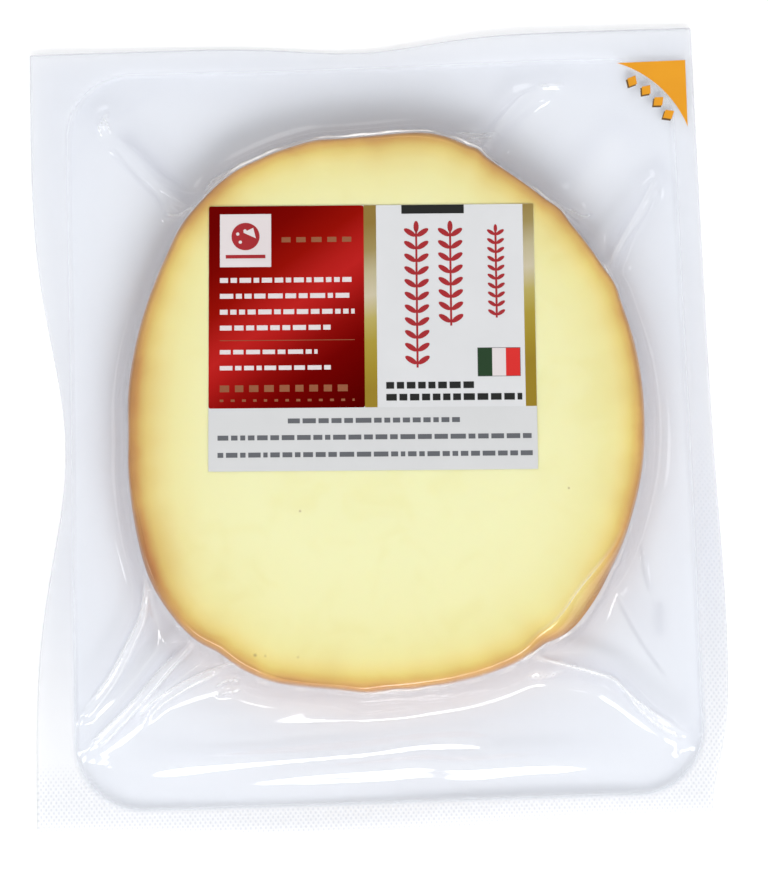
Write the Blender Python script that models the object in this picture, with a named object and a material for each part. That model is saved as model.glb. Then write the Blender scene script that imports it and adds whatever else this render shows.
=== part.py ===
"""One round slice of provolone, vacuum packed in clear film and lying with its label up.

Units are metres and +Z is up. The pack lies on its flat back film; the origin is on that plane,
under the middle of the pack. +X runs along the label's lines and +Y towards the label's top.
The film over the cheese is drawn tight, so the pack and what it holds are one closed solid.
"""
import math

import bmesh
import bpy
from mathutils import Vector

MM = 0.001

# The slice of cheese: an oval with soft bulges where it slumped, as (degrees round, size, spread).
CHEESE_CENTRE = Vector((2.6, 1.5)) * MM
CHEESE_HALF_WIDTH = 49.2 * MM
CHEESE_HALF_LENGTH = 53.0 * MM
CHEESE_BULGES = ((-134, 5.7 * MM, 27), (-50, 2.9 * MM, 24), (77, 2.3 * MM, 11), (122, 3.2 * MM, 23))
TOP_HEIGHT = 13.5 * MM
RIM_RADIUS = 3.6 * MM
RIM_TURN = math.radians(72)

# The sealed sheet round it. Its left edge is drawn in at the waist, its right edge bows out low
# down, its lower right corner is tucked in, its top edge slants and dips in the middle, and its
# bottom edge sags.
SHEET_HALF_WIDTH = 65.7 * MM
SHEET_TOP = 77.7 * MM
SHEET_BOTTOM = -76.4 * MM
SHEET_THICKNESS = 0.6 * MM
SHEET_LIFT = 2.2 * MM
SHEET_LIFT_RUN = 30 * MM
SHEET_WAVES = 5
LEFT_WAIST, LEFT_WAIST_Y, LEFT_WAIST_SPREAD = 6.0 * MM, -3 * MM, 29 * MM
RIGHT_BOW, RIGHT_BOW_Y, RIGHT_BOW_SPREAD = 0.9 * MM, -38 * MM, 26 * MM
CORNER_TUCK, CORNER_TUCK_SPREAD = 3.8 * MM, 13 * MM
TOP_SLANT = 0.9 * MM
TOP_DIP, TOP_DIP_SPREAD = 2.2 * MM, 17 * MM
BOTTOM_SAG, BOTTOM_SAG_SPREAD = 1.6 * MM, 40 * MM

# The film falls from the rim in a concave skirt, and its spare width stands up in creases that
# run out to the corners. A crease is its route, its height at the rim and its half-width.
SKIRT_RUN = 3.1 * MM
CREASE_FOOT = 0.3 * MM
CREASE_START = 1.5 * MM
CREASES = (
    (((-31.5, 41), (-45, 53), (-54, 63)), 8.5 * MM, 3.6 * MM),
    (((22, 48), (31, 61), (41, 70)), 8.0 * MM, 3.2 * MM),
    (((43, 26), (50, 38), (59, 52)), 8.0 * MM, 3.4 * MM),
    (((27, -45), (42, -50), (58, -62)), 8.0 * MM, 3.2 * MM),
    (((44, -28), (51, -42), (57, -52)), 6.5 * MM, 3.4 * MM),
    (((-43, -26.5), (-47, -40), (-57, -54)), 8.0 * MM, 3.2 * MM),
    (((-33, -41), (-43, -52), (-57, -65)), 8.0 * MM, 3.2 * MM),
    (((-21, -48), (-36, -50), (-47, -60)), 6.5 * MM, 3.0 * MM),
)

# The sticker on the film's top.
LABEL_WIDTH = 62.3 * MM
LABEL_LENGTH = 51.6 * MM
LABEL_CENTRE = Vector((0.4, 15.2)) * MM
LABEL_TURN = math.radians(-1.3)
LABEL_THICKNESS = 0.2 * MM
LABEL_GAP = 0.3 * MM
LABEL_COLUMNS = 14
LABEL_ROWS = 12

# How finely the solids are faceted.
EDGE_STEP = 3.6 * MM
TOP_RINGS = (0.4, 0.8)
RIM_STEPS = 3
SKIRT_RINGS = (0.04, 0.10, 0.18, 0.30, 0.45, 0.62, 0.80, 1.0)
UNDERSIDE_RINGS = (1.0, 0.62, 0.30, 0.10, 0.0)


def bell(offset, spread):
    """A smooth bump, 1 high at no offset."""
    return math.exp(-((offset / spread) ** 2))


def smooth_step(value):
    """An even ease from 0 to 1."""
    value = min(max(value, 0.0), 1.0)
    return value * value * (3 - 2 * value)


def cheese_radius(angle):
    """The slice's radius in one direction from its middle."""
    oval = math.hypot(CHEESE_HALF_LENGTH * math.cos(angle), CHEESE_HALF_WIDTH * math.sin(angle))
    radius = CHEESE_HALF_WIDTH * CHEESE_HALF_LENGTH / oval
    for middle, size, spread in CHEESE_BULGES:
        offset = (math.degrees(angle) - middle + 180) % 360 - 180
        radius += size * bell(offset, spread)
    return radius


def outward_of_rim(spot):
    """How far a spot lies outside the slice's outline; negative inside it."""
    arm = spot - CHEESE_CENTRE
    return arm.length - cheese_radius(math.atan2(arm.y, arm.x))


def along_route(spot, route):
    """The distance from a spot to a route of points, and how far along it that is, 0 to 1."""
    best = None
    legs = len(route) - 1
    for leg in range(legs):
        start = Vector(route[leg]) * MM
        run = Vector(route[leg + 1]) * MM - start
        share = min(max((spot - start).dot(run) / run.length_squared, 0.0), 1.0)
        distance = (spot - start - run * share).length
        if best is None or distance < best[0]:
            best = (distance, (leg + share) / legs)
    return best


def crease_height(spot):
    """How high the creases lift the film above the flat sheet at a spot."""
    height = 0.0
    for route, rim_height, half_width in CREASES:
        distance, share = along_route(spot, route)
        crest = rim_height * (1 - share) ** 1.3 + CREASE_FOOT
        height = max(height, crest * bell(distance, half_width * (0.6 + 0.4 * share)))
    return height


def back_height(spot):
    """The back film's height: flat under the cheese, then lifting in slow waves to the edges."""
    arm = spot - CHEESE_CENTRE
    wave = (1 + math.cos(SHEET_WAVES * math.atan2(arm.y, arm.x))) / 2
    return SHEET_LIFT * smooth_step(outward_of_rim(spot) / SHEET_LIFT_RUN) * (0.3 + 0.7 * wave)


def film_height(spot):
    """The top film's height over any spot of the pack."""
    beyond_flat = outward_of_rim(spot) + RIM_RADIUS
    if beyond_flat <= 0:
        return TOP_HEIGHT
    rim_run = RIM_RADIUS * math.sin(RIM_TURN)
    if beyond_flat <= rim_run:
        return TOP_HEIGHT - RIM_RADIUS + math.sqrt(RIM_RADIUS ** 2 - beyond_flat ** 2)
    sheet = back_height(spot) + SHEET_THICKNESS
    skirt_top = TOP_HEIGHT - RIM_RADIUS * (1 - math.cos(RIM_TURN)) - sheet
    skirt = skirt_top * math.exp((rim_run - beyond_flat) / SKIRT_RUN)
    crease = crease_height(spot) * smooth_step((beyond_flat - rim_run) / CREASE_START)
    return sheet + (skirt ** 3 + crease ** 3) ** (1 / 3)


def sheet_outline():
    """The sheet's cut edge, anticlockwise from its lower left corner, a step apart."""
    columns = round(2 * SHEET_HALF_WIDTH / EDGE_STEP)
    rows = round((SHEET_TOP - SHEET_BOTTOM) / EDGE_STEP)
    corners = (Vector((-1, -1)), Vector((1, -1)), Vector((1, 1)), Vector((-1, 1)))
    outline = []
    for side, steps in enumerate((columns, rows, columns, rows)):
        start = corners[side]
        run = corners[(side + 1) % 4] - start
        for step in range(steps):
            place = start + run * step / steps
            outline.append(edge_spot(place.x, place.y))
    return outline


def edge_spot(across, up):
    """A spot of the cut edge from its place on the plain rectangle, -1 to 1 each way."""
    x = across * SHEET_HALF_WIDTH
    y = SHEET_BOTTOM + (SHEET_TOP - SHEET_BOTTOM) * (1 + up) / 2
    if across < 0:
        shift = LEFT_WAIST * bell(y - LEFT_WAIST_Y, LEFT_WAIST_SPREAD)
    else:
        shift = RIGHT_BOW * bell(y - RIGHT_BOW_Y, RIGHT_BOW_SPREAD)
        shift -= CORNER_TUCK * bell(y - SHEET_BOTTOM, CORNER_TUCK_SPREAD)
    if up < 0:
        rise = -BOTTOM_SAG * bell(x, BOTTOM_SAG_SPREAD)
    else:
        rise = TOP_SLANT * across - TOP_DIP * bell(x, TOP_DIP_SPREAD)
    return Vector((x + shift * across ** 8, y + rise * abs(up)))


def station_spots(edge, shares, from_rim=True):
    """Spots on the line from the cheese's middle out to one spot of the edge."""
    arm = edge - CHEESE_CENTRE
    rim = cheese_radius(math.atan2(arm.y, arm.x))
    direction = arm.normalized()
    spots = []
    for share in shares:
        reach = rim + share * (arm.length - rim) if from_rim else share * rim
        spots.append(CHEESE_CENTRE + direction * reach)
    return spots


def rim_spots(edge):
    """Spots round the rounded rim, from the flat top to where the skirt starts."""
    arm = edge - CHEESE_CENTRE
    flat = cheese_radius(math.atan2(arm.y, arm.x)) - RIM_RADIUS
    spots = []
    for step in range(RIM_STEPS + 1):
        reach = flat + RIM_RADIUS * math.sin(RIM_TURN * step / RIM_STEPS)
        spots.append(CHEESE_CENTRE + arm.normalized() * reach)
    return spots


def raised(spot, height_of):
    """The point over a spot at the height that a function gives."""
    return Vector((spot.x, spot.y, height_of(spot)))


def close_round(name, stations, first_middle, last_middle):
    """Skin stations of points into one closed body, with a fan at each end."""
    shape = bmesh.new()
    columns = []
    for station in stations:
        columns.append([shape.verts.new(point) for point in station])
    first = shape.verts.new(first_middle)
    last = shape.verts.new(last_middle)
    for left, right in zip(columns[-1:] + columns[:-1], columns):
        shape.faces.new((first, right[0], left[0]))
        shape.faces.new((last, left[-1], right[-1]))
        for level in range(len(left) - 1):
            shape.faces.new((left[level], right[level], right[level + 1], left[level + 1]))
    return finished(name, shape)


def finished(name, shape):
    """Turn a bmesh into a smooth-shaded object with its normals out."""
    bmesh.ops.triangulate(shape, faces=shape.faces[:])
    bmesh.ops.recalc_face_normals(shape, faces=shape.faces[:])
    mesh = bpy.data.meshes.new(name)
    shape.to_mesh(mesh)
    shape.free()
    mesh.shade_smooth()
    mesh.set_sharp_from_angle(angle=math.radians(40))
    thing = bpy.data.objects.new(name, mesh)
    bpy.context.scene.collection.objects.link(thing)
    return thing


def paint(thing, name, colour, roughness):
    """Give an object its own Principled material."""
    material = bpy.data.materials.new(name)
    material.use_nodes = True
    shader = material.node_tree.nodes["Principled BSDF"]
    shader.inputs["Base Color"].default_value = (*colour, 1.0)
    shader.inputs["Roughness"].default_value = roughness
    shader.inputs["Metallic"].default_value = 0.0
    thing.data.materials.append(material)


def build_vacuum_pack():
    """The cheese under its film and the sheet round it, from the underside up and over."""
    middle = CHEESE_CENTRE
    stations = []
    for edge in sheet_outline():
        station = [raised(spot, back_height) for spot in station_spots(edge, UNDERSIDE_RINGS)]
        station.reverse()
        over = station_spots(edge, SKIRT_RINGS)
        over.reverse()
        rim = rim_spots(edge)
        rim.reverse()
        top = station_spots(edge, TOP_RINGS, from_rim=False)
        top.reverse()
        station += [raised(spot, film_height) for spot in over + rim + top]
        stations.append(station)
    under = Vector((middle.x, middle.y, 0))
    above = Vector((middle.x, middle.y, TOP_HEIGHT))
    pack = close_round("vacuum_pack", stations, under, above)
    paint(pack, "film_over_cheese", (0.82, 0.74, 0.42), 0.15)


def build_label():
    """The sticker: a thin plate that follows the film, bending where it reaches the rim."""
    shape = bmesh.new()
    bmesh.ops.create_grid(shape, x_segments=LABEL_COLUMNS, y_segments=LABEL_ROWS, size=0.5)
    bmesh.ops.scale(shape, vec=(LABEL_WIDTH, LABEL_LENGTH, 1), verts=shape.verts[:])
    turn = (math.cos(LABEL_TURN), math.sin(LABEL_TURN))
    for vert in shape.verts:
        x = LABEL_CENTRE.x + vert.co.x * turn[0] - vert.co.y * turn[1]
        y = LABEL_CENTRE.y + vert.co.x * turn[1] + vert.co.y * turn[0]
        vert.co = Vector((x, y, film_height(Vector((x, y))) + LABEL_GAP))
    under = shape.faces[:]
    above = bmesh.ops.extrude_face_region(shape, geom=under)["geom"]
    moved = [part for part in above if isinstance(part, bmesh.types.BMVert)]
    bmesh.ops.translate(shape, vec=(0, 0, LABEL_THICKNESS), verts=moved)
    label = finished("label", shape)
    paint(label, "label_paper", (0.45, 0.02, 0.02), 0.35)


for old in list(bpy.data.objects):
    bpy.data.objects.remove(old)
build_vacuum_pack()
build_label()
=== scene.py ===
"""Looks for a vacuum packed round of smoked provolone.

The slice of cheese, the clear film drawn over it, the sealed sheet round it, the sticker label
with its print, and the opening mark in the sheet's corner. Everything is in metres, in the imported
part's own frame: +Z up, +X along the label's lines, +Y towards the label's top.
"""

import math
import random

import bmesh
import bpy
import numpy as np
from mathutils import Matrix, Vector
from mathutils.bvhtree import BVHTree


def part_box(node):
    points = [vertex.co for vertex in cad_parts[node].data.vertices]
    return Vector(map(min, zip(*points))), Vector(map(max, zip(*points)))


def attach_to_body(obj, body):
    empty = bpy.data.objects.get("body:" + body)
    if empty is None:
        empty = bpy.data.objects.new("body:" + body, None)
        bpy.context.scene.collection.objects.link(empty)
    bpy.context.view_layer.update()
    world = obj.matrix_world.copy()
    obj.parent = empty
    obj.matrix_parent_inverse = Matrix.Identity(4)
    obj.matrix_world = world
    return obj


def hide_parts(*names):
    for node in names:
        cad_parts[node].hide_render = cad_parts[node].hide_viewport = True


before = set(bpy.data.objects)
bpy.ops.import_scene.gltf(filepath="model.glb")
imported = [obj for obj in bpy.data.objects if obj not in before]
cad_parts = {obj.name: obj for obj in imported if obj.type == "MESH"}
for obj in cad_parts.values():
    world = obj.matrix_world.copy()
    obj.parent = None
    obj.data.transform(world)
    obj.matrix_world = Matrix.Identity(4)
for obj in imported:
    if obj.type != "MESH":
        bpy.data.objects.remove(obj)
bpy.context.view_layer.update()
pack_low, pack_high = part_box("vacuum_pack")
label_low, label_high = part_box("label")

MM = 0.001

# The slice: an oval with soft bulges where it slumped, and small nicks in its rim, both as
# (degrees round, size in mm, spread in degrees).
CHEESE_CENTRE = np.array((2.6, 1.5)) * MM
CHEESE_HALF_WIDTH, CHEESE_HALF_LENGTH = 49.2 * MM, 53.0 * MM
CHEESE_BULGES = ((-134, 5.7, 27), (-50, 2.9, 24), (77, 2.3, 11), (122, 3.2, 23))
CHEESE_NICKS = ((-176, -0.35, 6), (-146, 0.25, 6), (-126, -0.7, 3.5), (-114, 0.5, 6), (-96, 0.4, 3),
                (-58.5, -0.6, 3), (-51, 0.3, 4), (-38, -0.25, 5), (-15, 0.3, 10), (27, 0.45, 3.5),
                (47.5, 0.5, 3), (69, 0.5, 1.6), (103, 0.35, 4), (115, -0.2, 4), (136, 0.35, 5))
FACE_RELIEF = 0.05 * MM

# The film's face lies a little below the solid's top, and the slice a hair below the film.
TOP_HEIGHT = pack_high.z
FILM_FACE = TOP_HEIGHT - 0.1 * MM
FILM_GAP = 0.12 * MM
SLICE_FACE = FILM_FACE - FILM_GAP

# The slice's underside, and how its side bulges out above it.
FOOT_HEIGHT, FOOT_INSET = 0.25 * MM, 2.4 * MM
SIDE_BULGE, SIDE_WAVER, SIDE_CLEARANCE = 2.1 * MM, 0.15 * MM, 0.05 * MM

# How far the rim is tanned: on its far side, where the tan is painted shade, and by smoke all round and
# in patches, as (degrees round, spread, strength).
FAR_SIDE_PAINTED_SHADE, SMOKE_ALL_ROUND = 0.1, 0.05
SMOKE_PATCHES = ((74, 26, 0.28), (183, 24, 0.6), (-148, 9, 0.75), (-132, 7, 0.3), (128, 9, 0.25),
                 (-48, 8, 0.25))

# Specks in the curd, as (x, y, radius) in mm.
CHEESE_SPECKS = ((-14.2, -17.9, 0.36), (36.6, -15.1, 0.34), (-23.3, -44.8, 0.5), (-21.4, -45.0, 0.4),
                 (-15.3, -45.4, 0.4), (38.2, -38.8, 0.7))

# The rim turns from the face to the side over this inset and drop; where the knife ran askew,
# at the lower right, both are larger.
RIM_INSET, SKEW_INSET = 1.15 * MM, 2.6 * MM
RIM_DROP, SKEW_DROP = 2.3 * MM, 2.6 * MM
SKEW_DEGREES, SKEW_SPREAD = -46, 11
RIM_SHAPE, SKEW_SHAPE = 2.0, 1.2
RIM_TURN = math.radians(74)

# The sealed sheet round it.
SHEET_HALF_WIDTH = 65.7 * MM
SHEET_TOP, SHEET_BOTTOM = 77.7 * MM, -76.4 * MM
SHEET_LIFT = 2.2 * MM
SHEET_LIFT_RUN = 30 * MM
SHEET_WAVES = 5
LEFT_WAIST, LEFT_WAIST_Y, LEFT_WAIST_SPREAD = 6.0 * MM, -3 * MM, 29 * MM
RIGHT_BOW, RIGHT_BOW_Y, RIGHT_BOW_SPREAD = 0.9 * MM, -38 * MM, 26 * MM
CORNER_TUCK, CORNER_TUCK_SPREAD = 3.8 * MM, 13 * MM
TOP_SLANT = 0.9 * MM
TOP_DIP, TOP_DIP_SPREAD = 2.2 * MM, 17 * MM
BOTTOM_SAG, BOTTOM_SAG_SPREAD = 1.6 * MM, 40 * MM
WELD_THICKNESS = 0.22 * MM

# The formed pocket, where the two films aren't welded, and the bead along its edge, which fades
# out towards the far side.
POCKET_LOW, POCKET_HIGH = np.array((-57.3, -71.4)) * MM, np.array((60.2, 71.2)) * MM
POCKET_CORNER = 12 * MM
POCKET_PUFF, POCKET_PUFF_RUN = 0.55 * MM, 7 * MM
BEAD_HEIGHT, BEAD_SPREAD, BEAD_FADE, BEAD_FADE_RUN = 0.2 * MM, 0.9 * MM, 0.9, 60 * MM
RIPPLE = 0.1 * MM

# The skirt of film that falls from the rim, steeper on the near side.
SKIRT_RUN, SKIRT_RUN_NEAR = 2.4 * MM, 1.8 * MM

# Tents of spare film, in mm: (route, height at the rim, height at the far end, half-width).
CREASES = (
    (((-33, 42), (-38, 46), (-44.5, 53.5), (-50.8, 61.5)), 8.0, 1.7, 2.9),
    (((22.5, 51), (26.3, 57.5), (31.5, 64), (38.4, 67)), 8.2, 0.8, 1.9),
    (((44.5, 25), (48, 31.8), (51.8, 38.4), (56, 45.0), (57.4, 48.4)), 8.4, 1.3, 1.6),
    (((26, -45.3), (35.3, -48), (43.5, -50.6), (51.7, -57.8), (57.6, -61.8)), 8.0, 2.0, 1.5),
    (((44, -30), (49.5, -42), (55.5, -51)), 2.4, 0.3, 2.4),
    (((-43, -26), (-44.4, -36), (-47.0, -41.2), (-50.8, -48), (-55.6, -54)), 8.2, 1.9, 1.7),
    (((-34.5, -41.2), (-39.9, -45.8), (-43.8, -49.9), (-47.6, -53.9), (-52.4, -58.3), (-55, -60.6)),
     8.0, 1.8, 1.6),
    (((-22, -47), (-28.5, -46.6), (-34.4, -48), (-41.5, -52), (-45.2, -56)), 7.0, 1.1, 1.8),
)
CREASE_TIP, CREASE_START, CREASE_FALL = 0.7 * MM, 1.2 * MM, 1.25

# Thin pinched folds, in mm: (route, height, half-width). They are pairs along the tents' crests,
# and short puckers where the film gathers against the rim.
PINCHES = (
    (((-35.4, 48.1), (-39.3, 50.2), (-44.7, 55.3), (-49.6, 59.3)), 0.35, 0.6),
    (((-37.5, 39.3), (-40.7, 46.8), (-45.4, 51.8), (-51.4, 57.7)), 0.4, 0.6),
    (((-52.6, 59.4), (-51.1, 62.0), (-50.2, 64.2)), 1.3, 0.45),
    (((-49.8, 59.4), (-50.6, 62.6)), 0.9, 0.4),
    (((-39.6, 42.9), (-36, 42.0), (-32.6, 42.6)), 1.0, 0.45),
    (((24.8, 57.5), (28.5, 61.3), (31.4, 64.3), (34.8, 66.4)), 0.5, 0.5),
    (((34.6, 66.7), (37.2, 67.1), (39.8, 66.9)), 0.95, 0.4),
    (((27.2, 57.1), (32.9, 62.6), (37.4, 64.9)), 0.45, 0.5),
    (((45.8, 26.2), (48.0, 32.0), (51.8, 38.2), (55.4, 44.6), (57.2, 48.2)), 0.62, 0.45),
    (((46.6, 26), (50.1, 34.1), (53.6, 39.2), (57.0, 45.4)), 0.6, 0.45),
    (((-43.6, -26.4), (-45.0, -35.4), (-47.6, -40.6), (-51.5, -47.4), (-56.2, -53.2)), 1.0, 0.65),
    (((-42.9, -28.2), (-44.2, -36.4), (-46.6, -41.6), (-50.2, -48.3), (-54.8, -54.0)), 0.7, 0.45),
    (((-36.4, -41.4), (-40.5, -45.2), (-44.4, -49.4), (-48.2, -53.4), (-53.0, -57.7), (-55.4, -59.6)),
     0.9, 0.5),
    (((-35.4, -42.8), (-39.3, -46.4), (-43.2, -50.5), (-47.0, -54.5), (-51.6, -58.9), (-53.8, -60.8)),
     0.85, 0.5),
    (((-25.5, -46.9), (-28.8, -46.0), (-33.3, -46.9), (-39.4, -49.6), (-44.8, -53.6), (-45.4, -55.8)),
     0.9, 0.5),
    (((-30, -47.0), (-35.4, -49.2), (-41.4, -52.6), (-43.9, -55.2)), 0.85, 0.55),
    (((26.2, -45.8), (35.3, -48.0), (41.7, -49.9), (44.1, -50.7), (47.2, -54.1), (51.7, -57.6),
      (57.4, -61.0)), 1.1, 0.55),
    (((46.0, -53.4), (51.2, -58.9), (56.9, -62.2)), 0.9, 0.5),
    (((51.1, -25.6), (52.2, -34.7)), 0.35, 0.6),
    (((-31.4, 46.4), (-29.9, 49.3), (-28.0, 50.5)), 1.2, 0.4),
    (((-29.4, 47.2), (-27.6, 49.5)), 1.0, 0.36),
    (((-30.8, 48.3), (-26.8, 51.0), (-24.0, 51.4)), 1.0, 0.4),
    (((17.9, 57.5), (20.9, 57.7), (26.7, 56.3)), 1.0, 0.4),
    (((19.6, 56.2), (22.8, 56.5), (25.1, 55.3)), 1.0, 0.4),
    (((21.2, 55.0), (24.4, 57.6)), 0.8, 0.36),
    (((38.6, 41.2), (42.5, 40.1), (44.2, 40.8)), 0.95, 0.4),
    (((27.8, -49.7), (31.4, -49.6), (34.8, -49.0)), 0.8, 0.6),
    (((-31.4, -49.6), (-28.9, -48.6), (-26.4, -48.9)), 0.9, 0.4),
    (((-31.0, -51.0), (-26.6, -50.4)), 0.85, 0.4),
    (((47.6, 20.5), (48.4, 25.5)), 0.7, 0.4),
)

# Strips where the film bridges off the rim, tilted up outwards: (middle and spread in degrees,
# width and drop below the face in mm). They wander in and out of the rim's line.
LEDGES = (
    (92, 34, 0.36, 0.86),
    (117, 22, 0.44, 0.85),
    (71, 12, 0.32, 1.0),
    (52, 12, 0.32, 1.0),
    (31, 4, 0.25, 1.3),
    (-61, 5, 0.2, 1.5),
    (-88, 16, 0.15, 2.0),
)
LEDGE_TILT, LEDGE_FALL = 0.5, 7
LEDGE_WANDER, LEDGE_SINK = 0.1 * MM, 3 * MM

# Long rolls of loose film, in mm: (route, height, half-width). Most lie below the slice.
ROLLS = (
    (((34, 37), (41, 44.5), (47, 52), (54, 60)), 1.5, 3.6),
    (((-52, -64.9), (-34.6, -63.9), (-6.2, -62.6), (7.1, -61.2), (16.5, -61.2), (25, -62.9)), 1.1, 1.7),
    (((-49, -67.3), (-6.3, -66.1), (6.9, -65.4), (14.9, -66.2), (30.8, -65.8), (52, -66.4)), 1.2, 2.0),
    (((-46, -55.9), (-24, -55.6), (-6, -54.6), (10, -54.9)), 0.5, 1.6),
    (((-40, -59.8), (-12, -59.0), (14, -58.2), (30, -58.9)), 0.45, 1.4),
    (((18, -70.2), (36, -69.4), (53, -69.8)), 0.5, 1.2),
    (((-48, -70.0), (-20, -69.8), (4, -69.6)), 0.45, 1.1),
)

# Flattened folds, where painted shade, partly for the doubled film, darkens what lies under them:
# (route in mm, strength, half-width in mm).
SHADED_FOLDS = (
    (((50.6, -24.0), (51.0, -29.0), (52.2, -35.0)), 0.3, 0.4),
    (((44.6, -33.0), (49.7, -43.2), (55.3, -51.6)), 0.34, 0.42),
    (((54.0, -35.0), (53.7, -38.5), (53.5, -43.6)), 0.2, 1.2),
    (((-49.2, 61.4), (-44.4, 56.4), (-39.4, 51.0), (-33.6, 45.2)), 0.3, 1.7),
    (((-38.4, 43.4), (-44.6, 50.4), (-50.6, 58.4)), 0.18, 0.45),
    (((-44.6, -38.0), (-40.4, -41.4), (-37.6, -45.0)), 0.2, 2.2),
)

# How finely the film and the cheese are meshed.
FILM_STATIONS = 960
CORNER_CROWDING = 0.11
FACE_RINGS, RIM_RINGS, SKIRT_RINGS, BACK_RINGS = 8, 12, 62, 14
SKIRT_GROWTH = 1.3
CHEESE_STATIONS = 480
CHEESE_SIDE_RINGS, CHEESE_RIM_RINGS, CHEESE_FACE_RINGS = 17, 16, 30

# The weld's knurling: a diamond lattice of dots, with two rows in each row pitch. It is pressed
# along the near margin, and up the right one until it fades.
KNURL_PITCH, KNURL_ROWS = 0.95 * MM, 1.3 * MM
KNURL_NEAR, KNURL_NEAR_FADE = -60 * MM, 10 * MM
KNURL_RIGHT, KNURL_RIGHT_FADE = 58 * MM, 2 * MM
KNURL_END, KNURL_END_FADE = 10 * MM, 40 * MM

# The welded films turn milky over a short run. Most of all on the near side, where the extra milk
# and whiteness are painted light.
WELD_RUN, WELD_LEAST_FROST = 1.8 * MM, 0.5
PAINTED_LIGHT_START, PAINTED_LIGHT_RUN = -20 * MM, 50 * MM

# The sticker.
LABEL_WIDTH = 62.3 * MM
LABEL_LENGTH = 51.6 * MM
LABEL_TURN = math.radians(-1.3)
LABEL_CORNER = 1.0 * MM
PAPER_LIFT, PAPER_THICKNESS = 0.05 * MM, 0.10 * MM
INK = 0.015 * MM


def bell(offset, spread):
    """A smooth bump, 1 high at no offset."""
    return np.exp(-((offset / spread) ** 2))


def smooth_step(value):
    """An even ease from 0 to 1."""
    value = np.clip(value, 0.0, 1.0)
    return value * value * (3 - 2 * value)


def degrees_off(turn, middle):
    """How many degrees a direction lies from a middle one, -180 to 180."""
    return (np.degrees(turn) - middle + 180) % 360 - 180


def cheese_radius(turn):
    """The slice's radius in each direction from its middle."""
    oval = np.hypot(CHEESE_HALF_LENGTH * np.cos(turn), CHEESE_HALF_WIDTH * np.sin(turn))
    radius = CHEESE_HALF_WIDTH * CHEESE_HALF_LENGTH / oval
    for middle, size, spread in CHEESE_BULGES + CHEESE_NICKS:
        radius = radius + size * MM * bell(degrees_off(turn, middle), spread)
    return radius


def outward_of_rim(x, y):
    """How far spots lie outside the slice's outline, and their directions from its middle."""
    turn = np.arctan2(y - CHEESE_CENTRE[1], x - CHEESE_CENTRE[0])
    reach = np.hypot(x - CHEESE_CENTRE[0], y - CHEESE_CENTRE[1])
    return reach - cheese_radius(turn), turn


def skew(turn):
    """How much of the askew cut shows in each direction, 0 to 1."""
    return bell(degrees_off(turn, SKEW_DEGREES), SKEW_SPREAD)


def rim_inset(turn):
    """How far inside the outline the flat face ends."""
    waver = 0.25 * MM * np.sin(5 * turn + 1) + 0.15 * MM * np.sin(11 * turn)
    return RIM_INSET + SKEW_INSET * skew(turn) + waver


def rim_drop(turn):
    """How far below the face the side turns upright."""
    return RIM_DROP + SKEW_DROP * skew(turn)


def face_relief(x, y):
    """The slight unevenness of the cut face."""
    slow = np.sin(x / (9 * MM) + 0.7) * np.sin(y / (11 * MM) - 0.4)
    quick = np.sin(x / (4.3 * MM) + y / (6.1 * MM)) * np.sin(y / (3.9 * MM) - x / (8.2 * MM) + 1.3)
    return FACE_RELIEF * (slow + 0.5 * quick)


def along_route(x, y, route):
    """The distance from spots to a softened route in mm, and how far along it they are, 0 to 1."""
    curve = soft_route(route)
    legs = len(curve) - 1
    nearest = np.full(x.shape, np.inf)
    share = np.zeros(x.shape)
    for leg in range(legs):
        start = np.array(curve[leg]) * MM
        run = np.array(curve[leg + 1]) * MM - start
        part = np.clip(((x - start[0]) * run[0] + (y - start[1]) * run[1]) / (run @ run), 0, 1)
        distance = np.hypot(x - start[0] - run[0] * part, y - start[1] - run[1] * part)
        closer = distance < nearest
        nearest = np.where(closer, distance, nearest)
        share = np.where(closer, (leg + part) / legs, share)
    return nearest, share


def soft_route(route, points=3):
    """The same route as a smooth curve through its own points."""
    spots = [Vector((*spot, 0)) for spot in route]
    spots = [2 * spots[0] - spots[1]] + spots + [2 * spots[-1] - spots[-2]]
    curve = []
    for before, start, end, after in zip(spots, spots[1:], spots[2:], spots[3:]):
        for step in range(points):
            t = step / points
            spot = start + 0.5 * t * ((end - before) + t * ((2 * before - 5 * start + 4 * end - after)
                                      + t * (3 * (start - end) + after - before)))
            curve.append((spot.x, spot.y))
    curve.append(tuple(route[-1]))
    return curve


def tapered(share, quickness):
    """An ease up from one end of a route and down to the other."""
    return smooth_step(quickness * share) * smooth_step(quickness * (1 - share))


def crease_height(x, y):
    """How high the tents of spare film lift above the sheet."""
    height = np.zeros(x.shape)
    for route, *sizes in CREASES:
        rim_height, far_height, half_width = (size * MM for size in sizes)
        distance, share = along_route(x, y, route)
        crest = far_height + (rim_height - far_height) * (1 - share) ** CREASE_FALL
        off = np.sqrt(distance ** 2 + CREASE_TIP ** 2) - CREASE_TIP
        end = np.where(share >= 1, bell(distance, 2 * half_width), 1)
        height = np.maximum(height, crest * np.exp(-off / (half_width * (1 + 0.5 * share))) * end)
    return height


def pinch_height(x, y):
    """The thin folds pinched up out of the film."""
    height = np.zeros(x.shape)
    for route, size, half_width in PINCHES:
        distance, share = along_route(x, y, route)
        ends = tapered(share, 6) * 0.8 + 0.2
        height = np.maximum(height, size * MM * ends * bell(distance, half_width * MM))
    return height


def fold_whitening_and_glint(x, y):
    """Whitening along the sharper pinched folds, 0 to 1: stress whitening and painted highlight."""
    white = np.zeros(x.shape)
    for route, size, half_width in PINCHES:
        distance, share = along_route(x, y, route)
        ends = tapered(share, 5) * 0.85 + 0.15
        stress_and_glint = min(max((size - 0.5) / 0.4, 0), 1)
        # This white is partly stress whitening and partly a painted highlight along the folds.
        white = np.maximum(white, 0.55 * stress_and_glint * ends * bell(distance, 0.5 * half_width * MM))
    return white


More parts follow.
